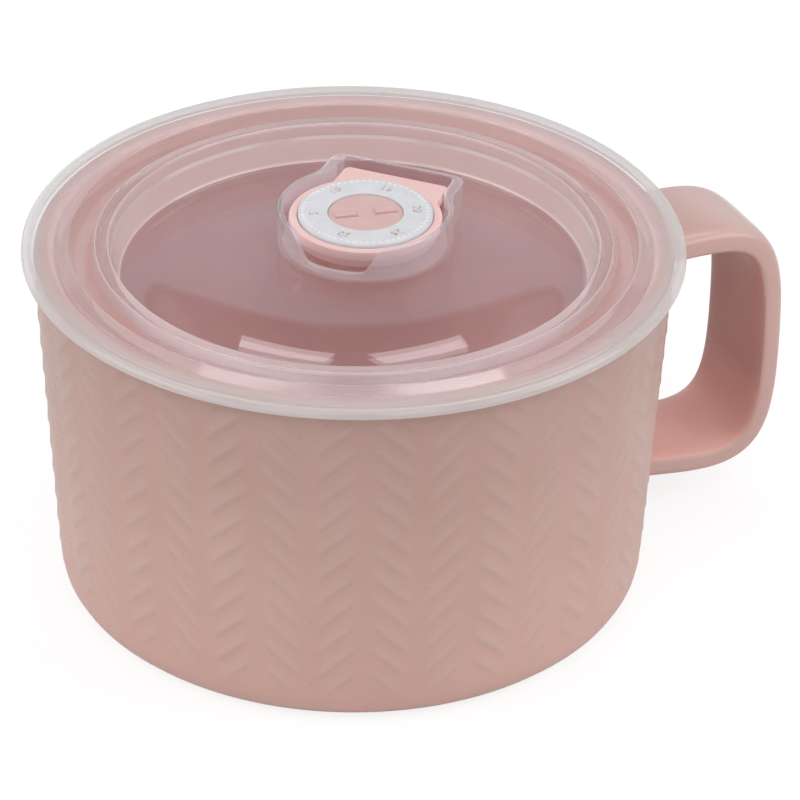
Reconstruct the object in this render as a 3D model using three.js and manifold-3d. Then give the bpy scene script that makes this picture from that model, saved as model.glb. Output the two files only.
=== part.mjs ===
// Lidded soup mug: stoneware cup with a luted strap handle, a press-in lid with a vent collar, and a
// silicone vent plug that lifts on a living hinge and carries a turnable date dial.
// Millimetres, +Z up, handle along +X, origin on the cup's axis at the table.
import * as THREE from 'three';
import { mergeVertices } from 'three/addons/utils/BufferGeometryUtils.js';
import Module from 'manifold-3d';

const wasm = await Module();
wasm.setup();

// Clearances, and how far a cutter runs past the face that it opens
const SEAT_GAP = 0.3;
const RUN_GAP = 0.4;
const CUT_OVER = 1.0;

// Cup
const CUP_HEIGHT = 79.2;
const CUP_FOOT_RADIUS = 62.8;
const CUP_RIM_RADIUS = 67.5;
const CUP_WALL = 4.3;
const CUP_FLOOR = 5.6;
const CUP_FOOT_FILLET = 6.5;
const CUP_FLOOR_FILLET = 9.0;
const CUP_LIP_ROUND = 1.5;
const FOOT_RING_WIDTH = 7.0;
const FOOT_RECESS = 0.8;

// Handle: a strap that leaves the wall, runs out to its reach and comes back near the foot;
// the arm and grip values are how full each bend is, as a share of its run
const HANDLE_WIDTH = 25.0;
const HANDLE_THICKNESS = 5.2;
const HANDLE_CROWN = 1.4;
const HANDLE_EDGE = 2.4;
const HANDLE_REACH = 96.0;
const HANDLE_UPPER_Z = 65.5;
const HANDLE_MIDDLE_Z = 39.9;
const HANDLE_LOWER_Z = 14.7;
const HANDLE_LOWER_DIP = 0.2;
const HANDLE_UPPER_ARM = 0.86;
const HANDLE_UPPER_GRIP = 1.1;
const HANDLE_LOWER_GRIP = 1.22;
const HANDLE_LOWER_ARM = 0.9;

// Lid, radii and heights of its section
const LID_RADIUS = 70.0;
const LID_WALL = 1.3;
const LID_SKIRT = 1.2;
const LID_CHANNEL_WIDTH = 4.6;
const LID_CHANNEL_DEPTH = 4.4;
const LID_RING_WIDTH = 3.2;
const LID_RING_SLOPE = 2.0;
const LID_RING_DROP = 0.6;
const LID_PANEL_RADIUS = 49.4;
const LID_PANEL_DEPTH = 8.5;
const LID_STEP_RISE = 4.6;
const LID_STEP_WIDTH = 0.5;

// Vent position on the lid; the tab points away from the scoop
const VENT_TURN = THREE.MathUtils.degToRad(42.7);
const VENT_ALONG = 13.7;
const VENT_ACROSS = 2.9;

// Date dial
const DIAL_RADIUS = 14.5;
const DIAL_HOLE_RADIUS = 8.1;
const DIAL_THICKNESS = 1.5;
const DIAL_PROUD = 0.8;
const DIAL_CHAMFER = 0.3;

// Vent plug and tab
const PLUG_FLANGE_WIDTH = 1.5;
const PLUG_HEIGHT = 5.8;
const PLUG_LIP = 1.4;
const PLUG_TAPER = 2.1;
const PLUG_FOOT_RADIUS = 9.0;
const PLUG_FOOT_HEIGHT = 1.3;
const BOSS_SINK = 0.4;
const STEM_RADIUS = 4.0;
const STEM_TIP_RADIUS = 2.6;
const STEM_BELOW_PANEL = 1.8;
const MARK_LENGTH = 4.8;
const MARK_WIDTH = 1.7;
const MARK_HEIGHT = 0.4;
const MARK_OFFSET = 4.6;
const MARK_TURN = 35;
const TAB_WIDTH = 24.0;
const TAB_STRIP = 2.4;
const TAB_WEB = 2.0;
const TAB_CORNER = 1.5;
const HINGE_BEHIND_DIAL = 1.2;
const PEG_RADIUS = 1.5;
const PEG_SPREAD = 16.0;
const PEG_HEAD_RADIUS = 2.3;
const PEG_HEAD_HEIGHT = 0.9;

// Vent collar
const COLLAR_WALL = 1.2;
const COLLAR_POST = 1.4;
const COLLAR_ABOVE_DIAL = 1.2;
const COLLAR_GAP = 1.3;
const COLLAR_REAR_GAP = 0.8;
const COLLAR_SIDE_GAP = 0.8;
const COLLAR_CORNER = 1.6;
const SCOOP_WIDTH = 20.8;
const SCOOP_FLOOR_WIDTH = 12.0;
const SCOOP_LIP = 2.3;
const SCOOP_STEPS = 10;

const ROUND = 80;
const ROUND_SMALL = 56;

const STONEWARE = { color: '#c9aaa0', roughness: 0.55, metalness: 0 };
const CLEAR_PLASTIC = { color: '#d6cfcb', roughness: 0.25, metalness: 0 };
const SILICONE = { color: '#ecb9b4', roughness: 0.6, metalness: 0 };
const DIAL_PLASTIC = { color: '#e9e9ec', roughness: 0.4, metalness: 0 };

// A closed solid from a geometry, with split vertices welded and collapsed triangles left out
function solid(geometry) {
  geometry.deleteAttribute('normal');
  geometry.deleteAttribute('uv');
  const welded = mergeVertices(geometry, 1e-4);
  const index = welded.index.array;
  const triangles = [];
  for (let i = 0; i < index.length; i += 3) {
    const [a, b, c] = [index[i], index[i + 1], index[i + 2]];
    if (a !== b && b !== c && c !== a) triangles.push(a, b, c);
  }
  return new wasm.Manifold(new wasm.Mesh({
    numProp: 3,
    vertProperties: new Float32Array(welded.attributes.position.array),
    triVerts: new Uint32Array(triangles),
  }));
}

// A body of revolution about Z; the profile runs up the outside of the section
function turned(profile, segments) {
  const points = profile.map(([radius, z]) => new THREE.Vector2(radius, z));
  return solid(new THREE.LatheGeometry(points, segments).rotateX(Math.PI / 2));
}

function prism(shape, bottom, top) {
  const geometry = new THREE.ExtrudeGeometry(shape, {
    depth: top - bottom, bevelEnabled: false, curveSegments: 14,
  });
  return solid(geometry.translate(0, 0, bottom));
}

function block(x0, x1, y0, y1, z0, z1) {
  const geometry = new THREE.BoxGeometry(x1 - x0, y1 - y0, z1 - z0);
  return solid(geometry.translate((x0 + x1) / 2, (y0 + y1) / 2, (z0 + z1) / 2));
}

function rod(radius, z0, z1, x = 0, y = 0) {
  const geometry = new THREE.CylinderGeometry(radius, radius, z1 - z0, ROUND_SMALL).rotateX(Math.PI / 2);
  return solid(geometry.translate(x, y, (z0 + z1) / 2));
}

// Points of a fillet about a centre, angles in radians
function fillet(x, z, radius, from, to, steps = 6) {
  const points = [];
  for (let i = 0; i <= steps; i += 1) {
    const angle = from + (to - from) * i / steps;
    points.push([x + radius * Math.cos(angle), z + radius * Math.sin(angle)]);
  }
  return points;
}

function piece(name, body, look) {
  const { vertProperties, triVerts } = body.getMesh();
  const geometry = new THREE.BufferGeometry();
  geometry.setAttribute('position', new THREE.BufferAttribute(new Float32Array(vertProperties), 3));
  geometry.setIndex(new THREE.BufferAttribute(new Uint32Array(triVerts), 1));
  geometry.computeVertexNormals();
  const mesh = new THREE.Mesh(geometry, new THREE.MeshStandardMaterial(look));
  mesh.name = name;
  return mesh;
}

// Cup wall: a straight taper from foot to rim
const TAPER = (CUP_RIM_RADIUS - CUP_FOOT_RADIUS) / CUP_HEIGHT;
const TAPER_ANGLE = Math.atan(TAPER);
const TAPER_SCALE = Math.hypot(1, TAPER);
const wallRadius = (z) => CUP_FOOT_RADIUS + TAPER * z;
const mouthRadius = (z) => wallRadius(z) - CUP_WALL * TAPER_SCALE;

function cupBody() {
  const footCentre = CUP_FOOT_RADIUS + TAPER * CUP_FOOT_FILLET - CUP_FOOT_FILLET * TAPER_SCALE;
  const floorCentreZ = CUP_FLOOR + CUP_FLOOR_FILLET;
  const floorCentre = mouthRadius(floorCentreZ) - CUP_FLOOR_FILLET * TAPER_SCALE;
  const lipZ = CUP_HEIGHT - CUP_LIP_ROUND;
  const outerLip = wallRadius(lipZ) - CUP_LIP_ROUND * TAPER_SCALE;
  const innerLip = mouthRadius(lipZ) + CUP_LIP_ROUND * TAPER_SCALE;
  const recessRadius = footCentre - FOOT_RING_WIDTH;
  return turned([
    [0, FOOT_RECESS],
    [recessRadius, FOOT_RECESS],
    [recessRadius + FOOT_RECESS, 0],
    ...fillet(footCentre, CUP_FOOT_FILLET, CUP_FOOT_FILLET, -Math.PI / 2, -TAPER_ANGLE, 8),
    ...fillet(outerLip, lipZ, CUP_LIP_ROUND, -TAPER_ANGLE, Math.PI / 2, 5),
    ...fillet(innerLip, lipZ, CUP_LIP_ROUND, Math.PI / 2, Math.PI - TAPER_ANGLE, 5),
    ...fillet(floorCentre, floorCentreZ, CUP_FLOOR_FILLET, -TAPER_ANGLE, -Math.PI / 2, 8),
    [0, CUP_FLOOR],
  ], ROUND);
}

function strapHandle() {
  const root = CUP_FOOT_RADIUS - CUP_WALL / 2;
  const out = HANDLE_REACH - root;
  const rise = HANDLE_UPPER_Z - HANDLE_MIDDLE_Z;
  const fall = HANDLE_MIDDLE_Z - HANDLE_LOWER_Z;
  const at = (x, z) => new THREE.Vector3(x, 0, z);
  const path = new THREE.CurvePath();
  path.add(new THREE.CubicBezierCurve3(
    at(root, HANDLE_UPPER_Z),
    at(root + out * HANDLE_UPPER_ARM, HANDLE_UPPER_Z),
    at(HANDLE_REACH, HANDLE_MIDDLE_Z + rise * HANDLE_UPPER_GRIP),
    at(HANDLE_REACH, HANDLE_MIDDLE_Z),
  ));
  path.add(new THREE.CubicBezierCurve3(
    at(HANDLE_REACH, HANDLE_MIDDLE_Z),
    at(HANDLE_REACH, HANDLE_MIDDLE_Z - fall * HANDLE_LOWER_GRIP),
    at(root + out * HANDLE_LOWER_ARM, HANDLE_LOWER_Z - out * HANDLE_LOWER_ARM * HANDLE_LOWER_DIP),
    at(root, HANDLE_LOWER_Z),
  ));
  // Section: x is across the strap, -y its outer face
  const half = HANDLE_WIDTH / 2;
  const deep = HANDLE_THICKNESS / 2;
  const section = new THREE.Shape();
  section.moveTo(-half + HANDLE_EDGE, deep);
  section.quadraticCurveTo(-half, deep, -half, deep - HANDLE_EDGE);
  section.lineTo(-half, -deep + HANDLE_EDGE);
  section.quadraticCurveTo(-half, -deep, -half + HANDLE_EDGE, -deep);
  section.quadraticCurveTo(0, -deep - 2 * HANDLE_CROWN, half - HANDLE_EDGE, -deep);
  section.quadraticCurveTo(half, -deep, half, -deep + HANDLE_EDGE);
  section.lineTo(half, deep - HANDLE_EDGE);
  section.quadraticCurveTo(half, deep, half - HANDLE_EDGE, deep);
  section.closePath();
  const sweep = { steps: 44, extrudePath: path, curveSegments: 5 };
  const strap = solid(new THREE.ExtrudeGeometry(section, sweep));
  const inside = turned([
    [0, -CUP_HEIGHT],
    [wallRadius(-CUP_HEIGHT) + SEAT_GAP, -CUP_HEIGHT],
    [wallRadius(2 * CUP_HEIGHT) + SEAT_GAP, 2 * CUP_HEIGHT],
    [0, 2 * CUP_HEIGHT],
  ], ROUND * 2);
  return strap.subtract(inside);
}

// Heights up the lid and the vent, each from its neighbour
const COVER_BOTTOM = CUP_HEIGHT + SEAT_GAP;
const COVER_TOP = COVER_BOTTOM + LID_WALL;
const PANEL_TOP = COVER_TOP - LID_PANEL_DEPTH;
const PANEL_BOTTOM = PANEL_TOP - LID_WALL;
const PLUG_BOTTOM = PANEL_TOP + SEAT_GAP;
const FLANGE_TOP = PLUG_BOTTOM + PLUG_HEIGHT;
const DIAL_TOP = FLANGE_TOP + DIAL_PROUD;
const DIAL_BOTTOM = DIAL_TOP - DIAL_THICKNESS;
const GROOVE_BOTTOM = DIAL_BOTTOM - SEAT_GAP;
const COLLAR_TOP = DIAL_TOP + COLLAR_ABOVE_DIAL;

// Plan radii and lengths of the vent, from its centre
const GROOVE_RADIUS = DIAL_RADIUS + RUN_GAP;
const FLANGE_RADIUS = GROOVE_RADIUS + PLUG_FLANGE_WIDTH;
const BOSS_RADIUS = DIAL_HOLE_RADIUS - RUN_GAP;
const HINGE_X = GROOVE_RADIUS + HINGE_BEHIND_DIAL;
const STRIP_FRONT = HINGE_X + SEAT_GAP / 2;
const STRIP_REAR = STRIP_FRONT + TAB_STRIP;
const COLLAR_RADIUS = FLANGE_RADIUS + COLLAR_GAP;
const COLLAR_REAR = STRIP_REAR + COLLAR_REAR_GAP;
const COLLAR_HALF_WIDTH = TAB_WIDTH / 2 + COLLAR_SIDE_GAP;

// Plan of the collar: round in front, square round the tab; grow is the distance outside the inner face
// and post the extra thickness beside the tab
function collarPlan(grow, post) {
  const radius = COLLAR_RADIUS + grow;
  const half = COLLAR_HALF_WIDTH + grow + post;
  const rear = COLLAR_REAR + grow;
  const corner = COLLAR_CORNER + grow;
  const start = Math.asin(half / radius);
  const plan = new THREE.Shape();
  plan.moveTo(radius * Math.cos(start), -half);
  plan.lineTo(rear - corner, -half);
  plan.absarc(rear - corner, -half + corner, corner, -Math.PI / 2, 0, false);
  plan.lineTo(rear, half - corner);
  plan.absarc(rear - corner, half - corner, corner, 0, Math.PI / 2, false);
  plan.lineTo(radius * Math.cos(start), half);
  plan.absarc(0, 0, radius, start, 2 * Math.PI - start, false);
  return plan;
}

// Finger scoop: a notch through the front of the collar that runs smoothly down to a flat lip
function scoopNotch() {
  const lip = PANEL_TOP + SCOOP_LIP;
  const rise = COLLAR_TOP - lip;
  const run = (SCOOP_WIDTH - SCOOP_FLOOR_WIDTH) / 2;
  const side = [];
  for (let i = 0; i <= SCOOP_STEPS; i += 1) {
    const share = i / SCOOP_STEPS;
    side.push([SCOOP_FLOOR_WIDTH / 2 + run * share, lip + rise * (1 - Math.cos(Math.PI * share)) / 2]);
  }
  side.push([SCOOP_WIDTH / 2, COLLAR_TOP + CUT_OVER]);
  const mirrored = side.map(([across, z]) => [-across, z]).reverse();
  const outline = [...side, ...mirrored].map(([across, z]) => new THREE.Vector2(across, z));
  const cut = { depth: 2 * COLLAR_RADIUS, bevelEnabled: false };
  const geometry = new THREE.ExtrudeGeometry(new THREE.Shape(outline), cut);
  return solid(geometry.rotateX(Math.PI / 2).rotateZ(-Math.PI / 2));
}

function ventCollar() {
  const wall = prism(collarPlan(COLLAR_WALL, COLLAR_POST), PANEL_TOP - LID_WALL / 2, COLLAR_TOP);
  const hollow = prism(collarPlan(0, 0), PANEL_TOP, COLLAR_TOP + CUT_OVER);
  return wall.subtract(scoopNotch()).subtract(hollow);
}

function clearLid() {
  const channelFloor = COVER_TOP - LID_CHANNEL_DEPTH;
  const plugRadius = mouthRadius(channelFloor - LID_WALL) - RUN_GAP;
  const channelOuter = plugRadius - LID_WALL;
  const channelInner = channelOuter - LID_CHANNEL_WIDTH;
  const ringTop = COVER_TOP - LID_RING_DROP;
  const ringOuter = channelInner - LID_RING_SLOPE;
  const ringInner = ringOuter - LID_RING_WIDTH;
  const stepTop = PANEL_TOP + LID_STEP_RISE;
  const skirtBottom = COVER_BOTTOM - LID_SKIRT;
  const skirtInner = CUP_RIM_RADIUS + RUN_GAP;
  const edge = LID_WALL / 2;
  const shell = turned([
    [0, PANEL_BOTTOM],
    [LID_PANEL_RADIUS + LID_WALL / 2, PANEL_BOTTOM],
    [ringInner - LID_STEP_WIDTH + LID_WALL, stepTop - LID_WALL],
    [ringInner + LID_WALL, ringTop - LID_WALL],
    [ringOuter - LID_WALL / 2, ringTop - LID_WALL],
    [channelInner - LID_WALL, channelFloor - LID_WALL / 2],
    [channelInner - LID_WALL / 2, channelFloor - LID_WALL],
    [plugRadius - edge, channelFloor - LID_WALL],
    [plugRadius, channelFloor - LID_WALL + edge],
    [plugRadius, COVER_BOTTOM],
    [skirtInner, COVER_BOTTOM],
    [skirtInner, skirtBottom],
    [LID_RADIUS - edge / 2, skirtBottom],
    [LID_RADIUS, skirtBottom + edge / 2],
    [LID_RADIUS, COVER_TOP - edge * 1.7],
    [LID_RADIUS - edge, COVER_TOP - edge * 0.7],
    [CUP_RIM_RADIUS - edge, COVER_TOP],
    [plugRadius + edge, COVER_TOP],
    [plugRadius - edge * 0.6, COVER_TOP - edge * 0.6],
    [channelOuter, channelFloor + edge],
    [channelOuter - edge, channelFloor],
    [channelInner, channelFloor],
    [ringOuter + edge * 0.4, ringTop - edge * 0.4],
    [ringOuter - edge * 0.4, ringTop],
    [ringInner + edge * 0.8, ringTop],
    [ringInner, ringTop - edge * 0.8],
    [ringInner, stepTop],
    [ringInner - LID_STEP_WIDTH, stepTop - LID_STEP_WIDTH],
    [LID_PANEL_RADIUS, PANEL_TOP + LID_WALL],
    [LID_PANEL_RADIUS - LID_WALL, PANEL_TOP],
    [0, PANEL_TOP],
  ], ROUND);
  const pegX = (STRIP_FRONT + STRIP_REAR) / 2;
  const through = (radius, x, y) => rod(radius, PANEL_BOTTOM - CUT_OVER, PANEL_TOP + CUT_OVER, x, y);
  const collar = ventCollar().translate([VENT_ALONG, VENT_ACROSS, 0]);
  return shell.add(collar)
    .subtract(through(STEM_RADIUS + RUN_GAP, VENT_ALONG, VENT_ACROSS))
    .subtract(through(PEG_RADIUS + RUN_GAP, VENT_ALONG + pegX, VENT_ACROSS - PEG_SPREAD / 2))
    .subtract(through(PEG_RADIUS + RUN_GAP, VENT_ALONG + pegX, VENT_ACROSS + PEG_SPREAD / 2));
}

function plugTab() {
  const half = TAB_WIDTH / 2;
  const pegX = (STRIP_FRONT + STRIP_REAR) / 2;
  const pegBottom = PANEL_BOTTOM - SEAT_GAP - PEG_HEAD_HEIGHT;
  const cornerX = STRIP_REAR - TAB_CORNER;
  const cornerY = half - TAB_CORNER;
  const plan = new THREE.Shape();
  plan.moveTo(STRIP_FRONT, -half);
  plan.lineTo(cornerX, -half);
  plan.absarc(cornerX, -cornerY, TAB_CORNER, -Math.PI / 2, 0, false);
  plan.absarc(cornerX, cornerY, TAB_CORNER, 0, Math.PI / 2, false);
  plan.lineTo(STRIP_FRONT, half);
  let tab = prism(plan, PLUG_BOTTOM, FLANGE_TOP);
  for (const side of [-PEG_SPREAD / 2, PEG_SPREAD / 2]) {
    tab = tab.add(rod(PEG_RADIUS, pegBottom, FLANGE_TOP - TAB_WEB, pegX, side));
    tab = tab.add(rod(PEG_HEAD_RADIUS, pegBottom, pegBottom + PEG_HEAD_HEIGHT, pegX, side));
  }
  return tab;
}

function ventPlug() {
  const half = TAB_WIDTH / 2;
  const rear = HINGE_X - SEAT_GAP / 2;
  const bossTop = DIAL_TOP - BOSS_SINK;
  const stemBottom = PANEL_BOTTOM - STEM_BELOW_PANEL;
  const lip = PLUG_LIP / 3;
  const disc = turned([
    [0, stemBottom],
    [STEM_TIP_RADIUS, stemBottom],
    [STEM_RADIUS, PLUG_BOTTOM],
    [PLUG_FOOT_RADIUS, PLUG_BOTTOM],
    [PLUG_FOOT_RADIUS, PLUG_BOTTOM + PLUG_FOOT_HEIGHT],
    [FLANGE_RADIUS - PLUG_TAPER, PLUG_BOTTOM + PLUG_FOOT_HEIGHT],
    [FLANGE_RADIUS, FLANGE_TOP - PLUG_LIP],
    [FLANGE_RADIUS, FLANGE_TOP - lip],
    [FLANGE_RADIUS - lip, FLANGE_TOP],
    [0, FLANGE_TOP],
  ], ROUND_SMALL);
  const web = block(0, rear, -half, half, FLANGE_TOP - TAB_WEB, FLANGE_TOP);
  const behind = block(rear, rear + FLANGE_RADIUS, -2 * half, 2 * half, stemBottom, bossTop);
  const groove = rod(GROOVE_RADIUS, GROOVE_BOTTOM, DIAL_TOP + CUT_OVER);
  let plug = disc.add(web).subtract(behind).subtract(groove);
  plug = plug.add(rod(BOSS_RADIUS, GROOVE_BOTTOM - TAB_WEB / 4, bossTop));
  for (const side of [-1, 1]) {
    const y = side * MARK_OFFSET;
    const mark = block(-MARK_WIDTH / 2, MARK_WIDTH / 2, y - MARK_LENGTH / 2, y + MARK_LENGTH / 2,
      bossTop - MARK_HEIGHT, bossTop + MARK_HEIGHT);
    plug = plug.add(mark.rotate([0, 0, MARK_TURN]));
  }
  return plug;
}

function dateDial() {
  return turned([
    [DIAL_HOLE_RADIUS, DIAL_BOTTOM],
    [DIAL_RADIUS, DIAL_BOTTOM],
    [DIAL_RADIUS, DIAL_TOP - DIAL_CHAMFER],
    [DIAL_RADIUS - DIAL_CHAMFER, DIAL_TOP],
    [DIAL_HOLE_RADIUS + DIAL_CHAMFER, DIAL_TOP],
    [DIAL_HOLE_RADIUS, DIAL_TOP - DIAL_CHAMFER],
    [DIAL_HOLE_RADIUS, DIAL_BOTTOM],
  ], ROUND_SMALL);
}

const vent = new THREE.Group();
vent.position.set(VENT_ALONG, VENT_ACROSS, 0);
vent.add(
  piece('plug_tab', plugTab(), SILICONE),
  piece('vent_plug', ventPlug(), SILICONE),
  piece('date_dial', dateDial(), DIAL_PLASTIC),
);

const cover = new THREE.Group();
cover.rotation.z = VENT_TURN;
cover.add(piece('lid', clearLid(), CLEAR_PLASTIC), vent);

const group = new THREE.Group();
group.add(
  piece('mug_body', cupBody(), STONEWARE),
  piece('handle', strapHandle(), STONEWARE),
  cover,
);

export default group;
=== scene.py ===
from math import asin, atan2, ceil, copysign, cos, degrees, exp, pi, radians, sin, sqrt, tan

import bmesh
import bpy
from mathutils import Matrix, Quaternion, Vector


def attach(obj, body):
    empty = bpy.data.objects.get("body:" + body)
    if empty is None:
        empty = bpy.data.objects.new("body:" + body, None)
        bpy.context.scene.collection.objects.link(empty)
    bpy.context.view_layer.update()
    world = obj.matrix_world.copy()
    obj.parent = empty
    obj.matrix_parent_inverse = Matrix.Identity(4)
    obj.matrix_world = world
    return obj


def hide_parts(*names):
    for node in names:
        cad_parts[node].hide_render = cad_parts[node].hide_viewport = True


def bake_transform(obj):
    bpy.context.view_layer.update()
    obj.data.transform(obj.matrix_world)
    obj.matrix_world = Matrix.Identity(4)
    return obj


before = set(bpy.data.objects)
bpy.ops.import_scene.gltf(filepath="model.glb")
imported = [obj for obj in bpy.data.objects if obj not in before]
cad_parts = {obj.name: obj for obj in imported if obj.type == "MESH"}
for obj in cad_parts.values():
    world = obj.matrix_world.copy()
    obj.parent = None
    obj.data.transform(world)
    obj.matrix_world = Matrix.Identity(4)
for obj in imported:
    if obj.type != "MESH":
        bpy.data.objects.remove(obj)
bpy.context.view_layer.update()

# Sizes are in millimetres and angles in degrees where nothing else is said; MM gives Blender's metres
MM = 0.001
# Signs of an oblong's corners, in order round it
OBLONG = ((-1, -1), (1, -1), (1, 1), (-1, 1))

# Cup
CUP_HEIGHT = 79.2
CUP_FOOT_RADIUS = 62.8
CUP_RIM_RADIUS = 67.5
CUP_WALL = 4.3
CUP_FLOOR = 5.6
CUP_FOOT_FILLET = 6.5
CUP_FLOOR_FILLET = 9.0
CUP_LIP_ROUND = 1.1
FOOT_RECESS_RADIUS = 49.7
FOOT_RECESS = 0.8
FOOT_RECESS_ROUND = 0.3
# Steps round the cup and rows up its outer wall, fine enough for the relief
CUP_STEPS = 468
CUP_ROW = 0.46
CUP_ROWS_FROM = 5

# Chevron relief: strokes in columns that lean left and right by turns
RELIEF_COLUMNS = 36
RELIEF_PEAK = 6.9
RELIEF_PITCH = 6.23
RELIEF_LEAN = 0.97
RELIEF_START = 0.5
RELIEF_DEPTH = 0.24
RELIEF_LOW = 8.5
RELIEF_LOW_FADE = 2.5
RELIEF_HIGH = 77.0
RELIEF_HIGH_FADE = 1.5
RELIEF_SKIN = 2.0
RELIEF_SHARPNESS = 1.6
# How far a stroke leans over and its band of painted shade lies below it, in radians of a row
RELIEF_OVERHANG = 0.6
PAINTED_SHADE_SHIFT = 1.15
PAINTED_SHADE_SHARPNESS = 4.0
# How far from the middle of its column a stroke is full, and gone, in columns
STROKE_FULL = 0.22
STROKE_END = 0.43

# Handle: a strap on two bends that meet at its reach, each with two middle points that pull it square
HANDLE_WIDTH = 25.0
HANDLE_THICKNESS = 5.2
HANDLE_CROWN = 1.4
HANDLE_SQUARE = 0.45
HANDLE_INNER = 0.7
HANDLE_REACH = 96.0
HANDLE_START = 60.65
HANDLE_TOP = 65.5
HANDLE_MEET = 39.9
HANDLE_FOOT = 14.7
HANDLE_UPPER = (
    (HANDLE_START, HANDLE_TOP), (91.051, HANDLE_TOP), (HANDLE_REACH, 68.06), (HANDLE_REACH, HANDLE_MEET))
HANDLE_LOWER = (
    (HANDLE_REACH, HANDLE_MEET), (HANDLE_REACH, 9.156), (92.465, 8.337), (HANDLE_START, HANDLE_FOOT))
HANDLE_STEPS = 48
HANDLE_POINTS = 72
# The strap is wider by a share where it joins the wall
HANDLE_ROOT = 61.2
HANDLE_FLARE = 0.08
HANDLE_FLARE_REACH = 5
# A face looks into the finger gap when it leans this much to the gap's middle, and takes the glaze painted
# with the gap's shade
HANDLE_GAP = (78, 0, 38)
HANDLE_GAP_LEAN = 0.6

# Lid, from its edge to its middle
LID_STEPS = 240
LID_WALL = 1.3
LID_RADIUS = 70.0
LID_TOP = 80.8
BRIM_TOP = 80.4
BRIM_INNER = 66.2
SKIRT_RADIUS = 67.9
SKIRT_BOTTOM = 78.5
LIP_INNER = 64.6
RIM_INNER = 60.0
SEAT_RADIUS = 62.55
CHANNEL_OUTER = 58.9
CHANNEL_INNER = 56.65
CHANNEL_FLOOR = 76.4
RING_OUTER = 54.65
RING_INNER = 51.45
RING_TOP = 80.2
RING_WALL_MIDDLE = 78.3
STEP_RADIUS = 50.95
STEP_TOP = 77.5
STEP_FOOT = 76.9
PANEL_RADIUS = 49.4
PANEL_TOP = 72.3
PANEL_FALL = 0.68
PANEL_FALL_RADIUS = 45

# Vent: its centre on the lid and the way its tab points. What follows is in its own frame, X to the tab
VENT_TURN = radians(42.7)
VENT_CENTRE = Matrix.Rotation(VENT_TURN, 3, "Z") @ Vector((13.7, 2.9, 0))
VENT_PLACE = Matrix.Translation(VENT_CENTRE) @ Matrix.Rotation(VENT_TURN, 4, "Z")
TO_VENT = VENT_PLACE.inverted()
COLLAR_RADIUS = 17.7
COLLAR_HALF = 12.8
COLLAR_REAR = 19.45
COLLAR_CORNER = 1.6
COLLAR_WALL = 1.2
COLLAR_POST = 1.4
COLLAR_FOOT = 71.8
COLLAR_TOP = 80.4
COLLAR_SOFTENING = 4
# The collar's edge: share of the way across its wall, drop below its top
COLLAR_EDGE = ((0.0, 0.35), (0.1, 0.1), (0.28, 0.0))
SCOOP_LIP = 74.6
SCOOP_FLOOR_HALF = 6.0
SCOOP_HALF = 10.4
BORE_LOW = 70
BORE_HIGH = 76
BORE_STEPS = 48
STEM_HOLE = 4.4
PEG_HOLE = 1.9

# Silicone tab: a fixed foot with two pegs and a top that bends
TAB_HALF = 12.0
TAB_START = 15.3
TAB_REAR = 18.65
TAB_CORNER = 1.5
TAB_UNDER = 76.4
TAB_STATION = 0.15
TAB_STATIONS = 13
TAB_THINNEST = 0.1
ANCHOR_START = 16.3
ANCHOR_INSET = 0.1
ANCHOR_LAP = 0.05
PEG_X = 17.45
PEG_Y = 8
PEG_RADIUS = 1.5
PEG_HEAD = 2.3
PEG_BOTTOM = 69.8
PEG_NECK = 70.7
PEG_TOP = 74
# The silicone's soft edge, and how far its middle point lies from both faces
SOFT_EDGE = 0.45
SOFT_EDGE_MIDDLE = 0.13

# Silicone plug
STEM_TIP = 69.2
STEM_TIP_RADIUS = 2.6
STEM_RADIUS = 4.0
PLUG_BOTTOM = 72.6
PLUG_FOOT_RADIUS = 9.0
PLUG_FOOT_TOP = 73.9
PLUG_DISC_RADIUS = 15.4
PLUG_DISC_INSET = 0.02
FLANGE_UNDER = 76.5
FLANGE_TOP = 78.4
FLANGE_RADIUS = 16.4
FLANGE_LAP = 0.05
FLANGE_STEPS = 144
# Keeps points of the flange's edge apart where it is square
FLANGE_POINT_GAP = 0.001
GROOVE_RADIUS = 14.62
GROOVE_EDGE = 0.12
DIAL_SEAT = 77.35
BOSS_TOP = 78.8
BOSS_RADIUS = 8.04
BAR_PLACE = 4.4
BAR_TURN = 35
BAR_HALF_WIDTH = 1.15
BAR_HALF_LENGTH = 2.5
# The bar's softened sides: share of its plan, height over the boss
BAR_SIDES = ((1.0, -0.1), (1.0, 0.2), (0.9, 0.46), (0.7, 0.55))

# Date dial, with the angle of its first number from the handle's direction
DIAL_TOP = 79.2
DIAL_BOTTOM = 77.7
DIAL_RADIUS = 14.5
DIAL_HOLE = 8.1
DIAL_MIDDLE = 11.0
DOT_COUNT = 60
DOT_CIRCLE = 13.4
DOT_RADIUS = 0.36
DOT_FLATNESS = 0.35
NUMBERS = ("5", "10", "15", "20", "25", "30")
NUMBER_FIRST = 160.7
NUMBER_STEP = 60
NUMBER_SIZE = 2.8
NUMBER_HALF_DEPTH = 0.05
NUMBER_LIFT = 0.03

# Kinds of node. A range takes values from inputs 1 to 2 onto 3 to 4, or onto 0 to 1; a colour mix has its
# colours in inputs 6 and 7 and gives output 2
MATH = "ShaderNodeMath"
VECTOR = "ShaderNodeVectorMath"
RANGE = "ShaderNodeMapRange"
NOISE = "ShaderNodeTexNoise"
MIX = "ShaderNodeMix"
SKIN = "ShaderNodeBsdfPrincipled"
SOFT = {"interpolation_type": "SMOOTHSTEP"}


def linear(code):
    """The linear colour of an sRGB hex value."""
    parts = [int(code[i : i + 2], 16) / 255 for i in (1, 3, 5)]
    return [p / 12.92 if p <= 0.04045 else ((p + 0.055) / 1.055) ** 2.4 for p in parts] + [1.0]


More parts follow.
